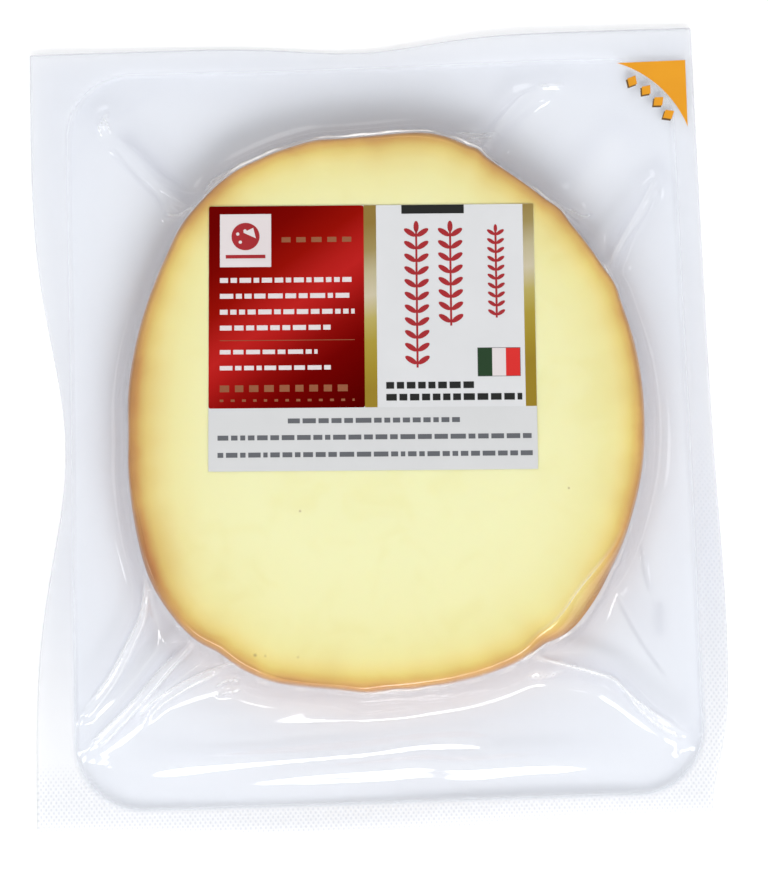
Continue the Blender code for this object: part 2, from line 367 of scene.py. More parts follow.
def fold_shade_line(x, y):
    """How much painted shade, partly for the doubled film, darkens the flattened folds, 0 to 1."""
    fold_shade = np.zeros(x.shape)
    for route, strength, half_width in SHADED_FOLDS:
        distance, share = along_route(x, y, route)
        fold_shade = np.maximum(fold_shade, strength * tapered(share, 4) * bell(distance, half_width * MM))
    return fold_shade


def along_ledge(outward, turn, middle, spread):
    """How far out spots lie from a ledge's inner edge, and how fully it has formed there."""
    off = degrees_off(turn, middle)
    return outward - LEDGE_WANDER * np.sin(0.9 * off), bell(off / spread, 1.0) ** 2


def rim_painted_highlight(x, y):
    """Painted highlight along the ledges and the askew cut's inner edge: how white it is painted, 0 to 1."""
    outward, turn = outward_of_rim(x, y)
    white = 0.5 * skew(turn) * bell(outward + rim_inset(turn), 0.1 * MM)
    for middle, spread, width, _ in LEDGES:
        place, formed = along_ledge(outward, turn, middle, spread)
        white = np.maximum(white, formed * bell(place - 0.02 * MM, width * MM))
    return white


def ledge_height(outward, turn):
    """The height of the ledges, where the film bridges off the rim; far below it elsewhere."""
    height = np.zeros(outward.shape)
    for middle, spread, width, drop in LEDGES:
        place, formed = along_ledge(outward, turn, middle, spread)
        sunk = drop * MM + LEDGE_SINK * (1 - formed)
        strip = TOP_HEIGHT - sunk + LEDGE_TILT * place - LEDGE_FALL * np.maximum(place - width * MM, 0)
        height = np.maximum(height, strip)
    return height


def pocket_depth(x, y):
    """How far inside the pocket's rounded edge spots lie; negative outside it."""
    middle = (POCKET_LOW + POCKET_HIGH) / 2
    half = (POCKET_HIGH - POCKET_LOW) / 2 - POCKET_CORNER
    over_x = np.abs(x - middle[0]) - half[0]
    over_y = np.abs(y - middle[1]) - half[1]
    outside = np.hypot(np.maximum(over_x, 0), np.maximum(over_y, 0))
    return POCKET_CORNER - outside - np.minimum(np.maximum(over_x, over_y), 0)


def back_height(x, y):
    """The back film's height: flat under the cheese, then lifting in slow waves to the edges."""
    outward, turn = outward_of_rim(x, y)
    wave = (1 + np.cos(SHEET_WAVES * turn)) / 2
    return SHEET_LIFT * smooth_step(outward / SHEET_LIFT_RUN) * (0.3 + 0.7 * wave)


def sheet_height(x, y):
    """The top film's height away from the slice and its creases."""
    depth = pocket_depth(x, y)
    puff = POCKET_PUFF * smooth_step(depth / POCKET_PUFF_RUN)
    ripple = RIPPLE * np.sin(x / (5.2 * MM) + 1.1 * np.sin(y / (13 * MM))) * np.sin(y / (7.4 * MM) + 0.6)
    rolls = np.zeros(x.shape)
    for route, size, half_width in ROLLS:
        distance, share = along_route(x, y, route)
        rolls = np.maximum(rolls, size * MM * tapered(share, 5) * bell(distance, half_width * MM))
    inside = smooth_step(depth / (2 * MM))
    bead = BEAD_HEIGHT * bell(depth, BEAD_SPREAD) * (1 - BEAD_FADE * smooth_step(y / BEAD_FADE_RUN + 0.5))
    return back_height(x, y) + WELD_THICKNESS + puff + bead + inside * (rolls + ripple)


def edge_spots(steps=700):
    """The sheet's cut edge as many spots, side by side round it."""
    along = np.linspace(-1, 1, steps)
    across = np.concatenate((along, np.ones(steps), -along, -np.ones(steps)))
    up = np.concatenate((-np.ones(steps), along, np.ones(steps), -along))
    x = across * SHEET_HALF_WIDTH
    y = SHEET_BOTTOM + (SHEET_TOP - SHEET_BOTTOM) * (1 + up) / 2
    waist = LEFT_WAIST * bell(y - LEFT_WAIST_Y, LEFT_WAIST_SPREAD)
    bow = RIGHT_BOW * bell(y - RIGHT_BOW_Y, RIGHT_BOW_SPREAD)
    tuck = CORNER_TUCK * bell(y - SHEET_BOTTOM, CORNER_TUCK_SPREAD)
    sag = -BOTTOM_SAG * bell(x, BOTTOM_SAG_SPREAD)
    dip = TOP_SLANT * across - TOP_DIP * bell(x, TOP_DIP_SPREAD)
    shift = np.where(across < 0, waist, bow - tuck) * across ** 8
    return x + shift, y + np.where(up < 0, sag, dip) * np.abs(up)


def edge_reach(turn):
    """How far the sheet's cut edge is from the slice's middle in each direction."""
    x, y = edge_spots()
    turns = np.arctan2(y - CHEESE_CENTRE[1], x - CHEESE_CENTRE[0])
    reach = np.hypot(x - CHEESE_CENTRE[0], y - CHEESE_CENTRE[1])
    order = np.argsort(turns)
    return np.interp(turn, turns[order], reach[order], period=math.tau)


# ---------------------------------------------------------------- meshes

def spun_drum(rings, stations):
    """A closed drum, spun from a line of points with a pole at each end. Ring k is at height k."""
    drum = bmesh.new()
    profile = [drum.verts.new((0.0 if ring in (0, rings - 1) else 1.0, 0, ring)) for ring in range(rings)]
    edges = [drum.edges.new(pair) for pair in zip(profile, profile[1:])]
    bmesh.ops.spin(drum, geom=profile + edges, cent=(0, 0, 0), axis=(0, 0, 1), angle=math.tau,
                   steps=stations, use_merge=True)
    bmesh.ops.remove_doubles(drum, verts=drum.verts[:], dist=0.001)
    bmesh.ops.recalc_face_normals(drum, faces=drum.faces[:])
    return drum


def reshaped(name, drum, places, stations, values):
    """Make a drum an object: each point goes to its ring's and station's place and takes its values."""
    mesh = bpy.data.meshes.new(name)
    drum.to_mesh(mesh)
    drum.free()
    flat = np.empty(3 * len(mesh.vertices), np.float32)
    mesh.vertices.foreach_get("co", flat)
    spots = flat.reshape(-1, 3)
    ring = np.rint(spots[:, 2]).astype(int)
    station = np.rint(np.arctan2(spots[:, 1], spots[:, 0]) / math.tau * stations).astype(int) % stations
    mesh.vertices.foreach_set("co", places[ring, station].astype(np.float32).ravel())
    for title, table in values.items():
        layer = mesh.attributes.new(title, "FLOAT", "POINT")
        layer.data.foreach_set("value", table[ring, station].astype(np.float32))
    mesh.shade_smooth()
    return linked(name, mesh)


def linked(name, mesh):
    """An object at the origin for a finished mesh."""
    thing = bpy.data.objects.new(name, mesh)
    bpy.context.scene.collection.objects.link(thing)
    return thing


def attach(thing, slot, node, *materials):
    """Give a piece its materials, let it ride on the part and stand for the solid it replaces."""
    for material in materials:
        thing.data.materials.append(material)
    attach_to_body(thing, "root")
    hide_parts(node)
    return thing


def station_turns(stations, crowding=0.0):
    """Directions round the slice, closer together towards the sheet's corners."""
    plain = np.arange(stations) * math.tau / stations
    return plain + crowding * np.sin(4 * plain)


def rim_ring(turn, tilt):
    """Outward distance and depth below the face where the rim has turned by a tilt."""
    power = 2 / (RIM_SHAPE + (SKEW_SHAPE - RIM_SHAPE) * skew(turn))
    outward = rim_inset(turn) * (np.sin(tilt) ** power - 1)
    depth = rim_drop(turn) * (1 - np.cos(tilt) ** power)
    return outward, depth


def face_share(step):
    """How far out on the face each ring lies: closer together towards the rim."""
    return 1 - (1 - step) ** 2


def on_sheet(turn, reach):
    """Spots at a distance from the slice's middle."""
    return CHEESE_CENTRE[0] + reach * np.cos(turn), CHEESE_CENTRE[1] + reach * np.sin(turn)


def build_film(materials):
    """The envelope: the back film, turned up at the cut edge into the formed film over the slice."""
    turn = station_turns(FILM_STATIONS, CORNER_CROWDING)
    radius = cheese_radius(turn)
    edge = edge_reach(turn)
    rings = []
    for share in np.linspace(0, 1, BACK_RINGS):
        x, y = on_sheet(turn, share * edge)
        rings.append((x, y, back_height(x, y)))
    last_outward, last_depth = rim_ring(turn, RIM_TURN)
    foot = radius + last_outward
    for step in range(SKIRT_RINGS, 0, -1):
        run = (edge - foot) * (step / SKIRT_RINGS) ** SKIRT_GROWTH
        x, y = on_sheet(turn, foot + run)
        sheet = sheet_height(x, y)
        fall = SKIRT_RUN + (SKIRT_RUN_NEAR - SKIRT_RUN) * smooth_step((-np.sin(turn) - 0.2) / 0.6)
        skirt = (FILM_FACE - last_depth - sheet) * np.exp(-run / fall)
        inside = smooth_step(pocket_depth(x, y) / (1.5 * MM) + 1)
        crease = crease_height(x, y) * smooth_step(run / CREASE_START) * inside
        height = sheet + (skirt ** 3 + crease ** 3) ** (1 / 3) + pinch_height(x, y) * inside
        rings.append((x, y, np.maximum(height, ledge_height(foot + run - radius, turn))))
    for step in range(RIM_RINGS, 0, -1):
        outward, depth = rim_ring(turn, RIM_TURN * step / RIM_RINGS)
        x, y = on_sheet(turn, radius + outward)
        fade = (outward + rim_inset(turn)) / rim_inset(turn)
        height = FILM_FACE - depth + face_relief(x, y) * (1 - fade)
        rings.append((x, y, np.maximum(height, ledge_height(outward, turn))))
    for step in range(FACE_RINGS, -1, -1):
        x, y = on_sheet(turn, (radius - rim_inset(turn)) * face_share(step / FACE_RINGS))
        rings.append((x, y, FILM_FACE + face_relief(x, y)))
    places = np.stack([np.stack(ring, axis=-1) for ring in rings])
    x, y = places[..., 0], places[..., 1]
    depth = pocket_depth(x, y)
    weld = smooth_step(-depth / WELD_RUN)
    near = smooth_step((KNURL_NEAR - y) / KNURL_NEAR_FADE)
    right = smooth_step((x - KNURL_RIGHT) / KNURL_RIGHT_FADE) * smooth_step((KNURL_END - y) / KNURL_END_FADE)
    # The rise towards the near side is painted light; the least frost is the weld's own milk.
    frost_and_light = WELD_LEAST_FROST + (1 - WELD_LEAST_FROST) * smooth_step((PAINTED_LIGHT_START - y) / PAINTED_LIGHT_RUN)
    # Painted highlight along the rim's ledges, and white along the folds that is partly stress whitening,
    # partly painted highlight.
    crease = np.clip(fold_whitening_and_glint(x, y) + rim_painted_highlight(x, y), 0, 1) * smooth_step(1 + depth / MM)
    values = {"weld": weld * np.maximum(near, right), "frost_and_light": weld * frost_and_light, "crease": crease,
              "fold_shade": fold_shade_line(x, y)}
    drum = spun_drum(len(rings), FILM_STATIONS)
    for face in drum.faces:
        face.material_index = int(face.calc_center_median().z < BACK_RINGS - 1)
    film = reshaped("clear_film", drum, places, FILM_STATIONS, values)
    return attach(film, "film_over_cheese", "vacuum_pack", *materials)


def build_cheese(material):
    """The slice: a flat cut face, a smoked rim, a bulging side and a flat underside."""
    turn = station_turns(CHEESE_STATIONS)
    radius = cheese_radius(turn)
    rings = []
    insets = []
    for share in (0.0, 0.5, 0.95):
        rings.append((*on_sheet(turn, share * (radius - FOOT_INSET)), np.full(turn.shape, FOOT_HEIGHT)))
        insets.append(np.full(turn.shape, -10 * MM))
    side_top = SLICE_FACE - rim_drop(turn)
    for step in range(1, CHEESE_SIDE_RINGS):
        share = step / CHEESE_SIDE_RINGS
        height = FOOT_HEIGHT + (side_top - FOOT_HEIGHT) * share ** 1.15
        bulge = SIDE_BULGE * (1 - share) ** 2.4 + SIDE_WAVER * np.sin(7 * turn + 2) * share * (1 - share)
        rings.append((*on_sheet(turn, radius - FILM_GAP - SIDE_CLEARANCE - bulge), height))
        insets.append(height - side_top)
    for step in range(CHEESE_RIM_RINGS, 0, -1):
        share = step / CHEESE_RIM_RINGS
        outward, depth = rim_ring(turn, math.pi / 2 * share)
        x, y = on_sheet(turn, radius + outward - FILM_GAP * (0.4 + 0.6 * share))
        rings.append((x, y, SLICE_FACE - depth))
        insets.append(-outward)
    for step in range(CHEESE_FACE_RINGS, -1, -1):
        share = step / CHEESE_FACE_RINGS
        reach = (radius - rim_inset(turn)) * face_share(share) - FILM_GAP * 0.4 * (step > 0)
        x, y = on_sheet(turn, reach)
        rings.append((x, y, SLICE_FACE + face_relief(x, y) * (share < 1)))
        insets.append(radius - reach)
    places = np.stack([np.stack(ring, axis=-1) for ring in rings])
    # The far side's share is painted shade; the rest is smoke.
    smoke_and_shade = SMOKE_ALL_ROUND + FAR_SIDE_PAINTED_SHADE * smooth_step((np.sin(turn) + 0.75) / 0.5)
    for middle, spread, strength in SMOKE_PATCHES:
        smoke_and_shade = smoke_and_shade + strength * bell(degrees_off(turn, middle), spread)
    smoke_and_shade = smoke_and_shade + 0.08 * np.sin(9 * turn) + 0.07 * np.sin(17 * turn + 1) + 0.05 * np.sin(41 * turn)
    values = {"inset": np.stack(insets), "smoke_and_shade": np.broadcast_to(np.clip(smoke_and_shade, 0, 1), places.shape[:2])}
    drum = spun_drum(len(rings), CHEESE_STATIONS)
    cheese = reshaped("cheese_slice", drum, places, CHEESE_STATIONS, values)
    return attach(cheese, "film_over_cheese", "vacuum_pack", material)


# ---------------------------------------------------------------- the label and its print

label_middle = (label_low + label_high) / 2
LABEL_CENTRE = np.array((label_middle.x, label_middle.y))


def draped(name, flat, skin, lift, centre=(0, 0), turn=0.0, cell=2.4 * MM):
    """Make a flat print an object: cut it into cells, turn it to its place and lay it on the film."""
    for axis in range(2):
        low = min(vert.co[axis] for vert in flat.verts)
        high = max(vert.co[axis] for vert in flat.verts)
        cuts = int((high - low) / cell)
        normal = Vector((axis == 0, axis == 1, 0))
        for cut in range(1, cuts + 1):
            place = normal * (low + (high - low) * cut / (cuts + 1))
            everything = flat.verts[:] + flat.edges[:] + flat.faces[:]
            bmesh.ops.bisect_plane(flat, geom=everything, plane_co=place, plane_no=normal, dist=1e-7)
    bmesh.ops.recalc_face_normals(flat, faces=flat.faces[:])
    bmesh.ops.rotate(flat, cent=(0, 0, 0), matrix=Matrix.Rotation(turn, 3, "Z"), verts=flat.verts[:])
    bmesh.ops.translate(flat, vec=(*centre, 0), verts=flat.verts[:])
    for vert in flat.verts:
        touch = skin.ray_cast(Vector((vert.co.x, vert.co.y, 1)), Vector((0, 0, -1)))[0]
        vert.co.z += touch.z + lift
    mesh = bpy.data.meshes.new(name)
    flat.to_mesh(mesh)
    flat.free()
    return linked(name, mesh)


def add_block(flat, left, right, bottom, top, thickness=INK, corner=0.0):
    """Add a rectangle of print, from its edges in mm on the label's axes."""
    size = Matrix.Diagonal(((right - left) * MM, (top - bottom) * MM, thickness, 1))
    place = Matrix.Translation(((left + right) / 2 * MM, (top + bottom) / 2 * MM, thickness / 2))
    made = bmesh.ops.create_cube(flat, size=1, matrix=place @ size)
    if corner:
        upright = [edge for edge in {edge for vert in made["verts"] for edge in vert.link_edges}
                   if abs(edge.verts[0].co.z - edge.verts[1].co.z) > thickness / 2]
        bmesh.ops.bevel(flat, geom=upright, offset=corner, offset_type="OFFSET", segments=4,
                        profile=0.5, affect="EDGES", material=-1)


def add_disc(flat, middle, half_width, half_height, segments, turn=0.0, thickness=INK):
    """Add an oval, lozenge or wedge of print: a low turned solid about its middle, in mm."""
    made = bmesh.ops.create_cone(flat, cap_ends=True, cap_tris=False, segments=segments, radius1=1,
                                 radius2=1, depth=1)
    shape = Matrix.Diagonal((half_width * MM, half_height * MM, thickness, 1))
    place = Matrix.Translation((middle[0] * MM, middle[1] * MM, thickness / 2))
    bmesh.ops.transform(flat, matrix=place @ Matrix.Rotation(turn, 4, "Z") @ shape, verts=made["verts"])


def dash_row(flat, rows, seed, shortest=1.2, longest=4.6, gap=0.55):
    """Print lines of plain dashes: rows are (left, right, middle height, dash height) in mm."""
    draw = random.Random(seed)
    for left, right, middle, height in rows:
        start = left
        while start < right - shortest / 2:
            end = min(start + draw.uniform(shortest, longest), right)
            add_block(flat, start, end, middle - height / 2, middle + height / 2)
            start = end + gap


def build_label(finishes, skin):
    """The sticker's paper and, over it, one thin layer of print for each ink or foil."""
    half_width, half_length = LABEL_WIDTH / MM / 2, LABEL_LENGTH / MM / 2
    layers = []

    paper = bmesh.new()
    add_block(paper, -half_width, half_width, -half_length, half_length, PAPER_THICKNESS, LABEL_CORNER)
    layers.append(("label_paper", paper, PAPER_LIFT, "white_paper"))

    red_right, band_top = -1.45, -13.7
    gold_strips = ((red_right, 0.95), (29.05, half_width))
    foil = bmesh.new()
    add_block(foil, -half_width + 0.02, red_right, band_top, half_length - 0.02, corner=0.4 * MM)
    layers.append(("label_red_foil", foil, 0, "red_foil"))

    gold = bmesh.new()
    for left, right in gold_strips:
        add_block(gold, left, right - 0.02, band_top, half_length - 0.02)
    layers.append(("label_gold_strips", gold, 0, "gold_foil"))

    band = bmesh.new()
    add_block(band, -half_width + 0.02, half_width - 0.02, -half_length + 0.02, band_top)
    layers.append(("label_grey_band", band, 0, "grey_paper"))

    dark = bmesh.new()
    add_block(dark, 5.8, 17.8, 24.05, half_length - 0.02)
    dash_row(dark, ((2.6, 19.9, -9.5, 1.3), (2.6, 28.4, -11.8, 1.3)), 4, 1.3, 2.2, 0.5)
    layers.append(("label_dark_print", dark, 0, "black_green_ink"))

    square = bmesh.new()
    add_block(square, -29.0, -19.2, 13.8, 24.2)
    layers.append(("label_white_square", square, INK, "white_ink"))

    emblem = bmesh.new()
    add_disc(emblem, (-24.1, 19.8), 2.7, 2.7, 40)
    add_block(emblem, -27.9, -20.3, 15.5, 16.2)
    layers.append(("label_wheel_emblem", emblem, 2 * INK, "crimson_ink"))

    cut = bmesh.new()
    add_disc(cut, (-23.1, 20.5), 1.55, 1.1, 3, math.radians(-25))
    for spot in ((-25.1, 18.7), (-24.2, 20.9), (-25.6, 20.3)):
        add_disc(cut, spot, 0.32, 0.32, 14)
    layers.append(("label_wheel_cut", cut, 3 * INK, "white_ink"))

    pale = bmesh.new()
    dash_row(pale, ((-29.0, -3.3, 11.2, 0.95), (-29.0, -4.2, 8.1, 0.95), (-29.0, -3.3, 5.0, 0.95),
                    (-29.0, -7.3, 1.9, 0.95), (-29.0, -10.4, -2.8, 0.85), (-29.0, -7.9, -5.9, 0.85)), 7,
             0.9, 2.9, 0.5)
    layers.append(("label_pale_print", pale, INK, "white_ink"))

    rose = bmesh.new()
    add_block(rose, -29.0, -3.3, -0.62, -0.5)
    dash_row(rose, ((-17.2, -3.4, 19.1, 1.0), (-29.0, -3.4, -9.9, 1.3)), 11, 1.5, 2.0, 1.1)
    dash_row(rose, ((-29.0, -3.4, -12.2, 0.45),), 12, 0.6, 0.8, 1.4)
    layers.append(("label_rose_print", rose, INK, "rose_gold_ink"))

    grey = bmesh.new()
    dash_row(grey, ((-16.1, 17.0, -16.2, 0.95), (-29.4, 30.3, -19.4, 0.95), (-29.4, 30.6, -22.7, 0.95)), 19,
             0.8, 3.0, 0.5)
    layers.append(("label_grey_print", grey, INK, "slate_ink"))

    sprig = bmesh.new()
    for middle, top, bottom in ((8.6, 22.4, -6.1), (15.1, 22.4, 2.0)):
        add_sprig(sprig, middle, top, bottom, 2.3)
    add_sprig(sprig, 23.8, 21.7, 3.5, 1.6)
    layers.append(("label_leaf_sprigs", sprig, 0, "crimson_ink"))

    stripes = ((20.1, 22.8, "leaf_green_ink"), (22.8, 25.4, "white_ink"), (25.4, 28.1, "scarlet_ink"))
    for left, right, ink in stripes:
        field = bmesh.new()
        add_block(field, left, right, -7.8, -2.4)
        layers.append(("label_stripe_" + ink.split("_")[0], field, INK, ink))
    border = bmesh.new()
    add_block(border, 20.0, 28.2, -7.9, -2.3)
    layers.append(("label_stripe_border", border, 0, "slate_ink"))

    for name, flat, lift, finish in layers:
        above = lift if name == "label_paper" else PAPER_LIFT + PAPER_THICKNESS + 0.005 * MM + 1.4 * lift
        piece = draped(name, flat, skin, above, LABEL_CENTRE, LABEL_TURN)
        attach(piece, "label_paper", "label", finishes[finish])


def add_sprig(flat, middle, top, bottom, leaf):
    """Print an upright sprig: a stem with pairs of pointed leaves and a bud on top, in mm."""
    add_block(flat, middle - 0.2, middle + 0.2, bottom, top - leaf * 0.6)
    add_disc(flat, (middle, top - leaf * 0.4), leaf * 0.22, leaf * 0.5, 14)
    pairs = round((top - bottom) / (leaf * 1.12))
    for pair in range(pairs):
        height = bottom + (pair + 0.35) * (top - leaf - bottom) / (pairs - 0.5)
        for side in (-1, 1):
            spot = (middle + side * leaf * 0.53, height + leaf * 0.26)
            add_disc(flat, spot, leaf * 0.58, leaf * 0.23, 14, side * math.radians(34))


def build_corner_mark(finishes, skin):
    """The amber opening mark printed on the weld: a corner with a hollow arc and four lozenges."""
    corner = Vector((64.3, 72.0, 0)) * MM
    arc_middle, arc_radius = Vector((44.1, 51.5, 0)) * MM, 21.2 * MM
    mark = bmesh.new()
    tip = mark.verts.new(corner)
    start = arc_middle + Matrix.Rotation(math.radians(19), 3, "Z") @ Vector((arc_radius, 0, 0))
    bmesh.ops.spin(mark, geom=[mark.verts.new(start)], cent=arc_middle, axis=(0, 0, 1),
                   angle=math.radians(53), steps=18)
    rim = [vert for vert in mark.verts if vert != tip]
    rim.sort(key=lambda vert: vert.co.x)
    for left, right in zip(rim, rim[1:]):
        bmesh.ops.contextual_create(mark, geom=[tip, left, right])
    grown = bmesh.ops.extrude_face_region(mark, geom=mark.faces[:])
    lifted = [part for part in grown["geom"] if isinstance(part, bmesh.types.BMVert)]
    bmesh.ops.translate(mark, vec=(0, 0, INK), verts=lifted)
    shadows, lozenges = bmesh.new(), bmesh.new()
    for turn in (60, 50, 40, 30):
        outward = Matrix.Rotation(math.radians(turn), 3, "Z") @ Vector((18.9, 0, 0))
        spot = arc_middle / MM + outward
        add_disc(lozenges, spot, 1.35, 1.1, 4, math.radians(turn))
        add_disc(shadows, (spot.x - 0.28, spot.y - 0.32), 1.4, 1.15, 4, math.radians(turn))
    pieces = (("corner_mark", mark, "amber_ink", 0.0), ("corner_lozenge_shadows", shadows, "brown_ink", 0.0),
              ("corner_lozenges", lozenges, "amber_ink", 1.5 * INK))
    for name, flat, ink, lift in pieces:
        attach(draped(name, flat, skin, 0.03 * MM + lift, cell=1.2 * MM), "label_paper", "vacuum_pack",
               finishes[ink])


# ---------------------------------------------------------------- materials

def colour(code):
    """A linear colour from an sRGB hex value."""
    parts = [int(code[place:place + 2], 16) / 255 for place in (1, 3, 5)]
    return (*[part / 12.92 if part <= 0.04045 else ((part + 0.055) / 1.055) ** 2.4 for part in parts], 1)


def add(tree, kind, inputs=None, stops=(), **settings):
    """Add a node: inputs are values or the sockets that feed them, stops are a colour ramp's."""
    made = tree.nodes.new(kind)
    for name, value in settings.items():
        setattr(made, name, value)
    for name, value in (inputs or {}).items():
        if isinstance(value, bpy.types.NodeSocket):
            tree.links.new(value, made.inputs[name])
        else:
            made.inputs[name].default_value = value
    for place, (position, code) in enumerate(stops):
        elements = made.color_ramp.elements
        element = elements[place] if place < 2 else elements.new(position)
        element.position = position
        element.color = colour(code)
    return made


def new_material(name):
    """An empty node material and its tree."""
    material = bpy.data.materials.new(name)
    material.use_nodes = True
    material.node_tree.nodes.clear()
    return material, material.node_tree


def formed_film():
    """Clear PA/PE film, thermoformed and shrunk on: a wet gloss, with knurled dots where it is welded."""
    material, tree = new_material("formed clear film")
    slope = add(tree, "ShaderNodeLayerWeight", {"Blend": 0.5}).outputs["Facing"]
    tint = add(tree, "ShaderNodeValToRGB", {"Fac": slope},
               ((0.0, "#FEFEFE"), (0.14, "#FBFBFC"), (0.4, "#F6F6F8"), (0.75, "#ECECEF"), (1.0, "#DCDCE0"))
               ).outputs[0]
    where = add(tree, "ShaderNodeTexCoord").outputs["Object"]
    scaled = add(tree, "ShaderNodeMapping", {"Vector": where, "Scale": (1 / KNURL_PITCH, 1 / KNURL_ROWS, 1)})
    split = add(tree, "ShaderNodeSeparateXYZ", {"Vector": scaled.outputs["Vector"]})
    waves = []
    for axis in ("X", "Y"):
        angle = add(tree, "ShaderNodeMath", {0: split.outputs[axis], 1: math.tau}, operation="MULTIPLY")
        waves.append(add(tree, "ShaderNodeMath", {0: angle.outputs[0]}, operation="SINE").outputs[0])
    dots = add(tree, "ShaderNodeMath", {0: waves[0], 1: waves[1]}, operation="MULTIPLY").outputs[0]
    weld, frost_and_light, crease, fold_shade = (add(tree, "ShaderNodeAttribute", attribute_name=name).outputs["Fac"]
                                for name in ("weld", "frost_and_light", "crease", "fold_shade"))
    knurl = add(tree, "ShaderNodeMath", {0: dots, 1: weld}, operation="MULTIPLY").outputs[0]
    bump = add(tree, "ShaderNodeBump", {"Height": knurl, "Strength": 1.0, "Distance": 0.04 * MM}).outputs[0]
    gloss = add(tree, "ShaderNodeBsdfGlossy", {"Color": (1, 1, 1, 1), "Roughness": 0.07, "Normal": bump})
    dimple = add(tree, "ShaderNodeMapRange", {"Value": knurl, "From Min": 0.15, "From Max": 0.6}).outputs[0]
    dotted = add(tree, "ShaderNodeMix", {0: dimple, 6: tint, 7: colour("#F4F5F8")},
                 data_type="RGBA").outputs[2]
    # Painted shade along the flattened folds, partly for the doubled film.
    fold_shaded_tint = add(tree, "ShaderNodeMix", {0: fold_shade, 6: dotted, 7: colour("#D2D2D8")}, data_type="RGBA",
                 blend_type="MULTIPLY").outputs[2]
    clear = add(tree, "ShaderNodeBsdfTransparent", {"Color": fold_shaded_tint})
    # Grey on the far side's weld and white on the near side's: painted shade and painted light over the
    # weld's milk.
    frost_and_light_tone = add(tree, "ShaderNodeValToRGB", {"Fac": frost_and_light},
                 ((0.0, "#FCFCFC"), (0.3, "#F4F5F9"), (0.5, "#F4F5F9"), (1.0, "#FFFFFF"))).outputs[0]
    knurled_frost_and_light_tone = add(tree, "ShaderNodeMix", {0: dimple, 6: frost_and_light_tone, 7: colour("#EDEEF3")},
                  data_type="RGBA").outputs[2]
    back_scatter = add(tree, "ShaderNodeBsdfDiffuse", {"Color": knurled_frost_and_light_tone, "Normal": bump}).outputs[0]
    through = add(tree, "ShaderNodeBsdfTranslucent", {"Color": knurled_frost_and_light_tone, "Normal": bump}).outputs[0]
    haze = add(tree, "ShaderNodeMixShader", {0: 0.25, 1: back_scatter, 2: through})
    # The white along folds and ledges is painted highlight, partly stress whitening; the milk also carries
    # the frost's painted light.
    whitening_and_painted_glints = add(tree, "ShaderNodeMath", {0: crease, 1: 0.7, 2: 0.02}, operation="MULTIPLY_ADD").outputs[0]
    milk_and_painted_light = add(tree, "ShaderNodeMath", {0: frost_and_light, 1: 0.7, 2: whitening_and_painted_glints}, operation="MULTIPLY_ADD").outputs[0]
    body = add(tree, "ShaderNodeMixShader", {0: milk_and_painted_light, 1: clear.outputs[0], 2: haze.outputs[0]})
    bumped = add(tree, "ShaderNodeLayerWeight", {"Blend": 0.5, "Normal": bump}).outputs["Facing"]
    steep = add(tree, "ShaderNodeMath", {0: bumped, 1: 4.0}, operation="POWER").outputs[0]
    mirror = add(tree, "ShaderNodeMath", {0: steep, 1: 0.93, 2: 0.07}, operation="MULTIPLY_ADD").outputs[0]
    surface = add(tree, "ShaderNodeMixShader", {0: mirror, 1: body.outputs[0], 2: gloss.outputs[0]})
    add(tree, "ShaderNodeOutputMaterial", {"Surface": surface.outputs[0]})
    return material


def back_film():
    """The heavier back web, extruded and slightly milky: it gives the sheet its pale blue-grey cast."""
    material, tree = new_material("milky back film")
    clear = add(tree, "ShaderNodeBsdfTransparent", {"Color": colour("#F4F6F9")})
    haze = add(tree, "ShaderNodeBsdfDiffuse", {"Color": colour("#E4E8F2")})
    surface = add(tree, "ShaderNodeMixShader", {0: 0.05, 1: clear.outputs[0], 2: haze.outputs[0]})
    add(tree, "ShaderNodeOutputMaterial", {"Surface": surface.outputs[0]})
    return material


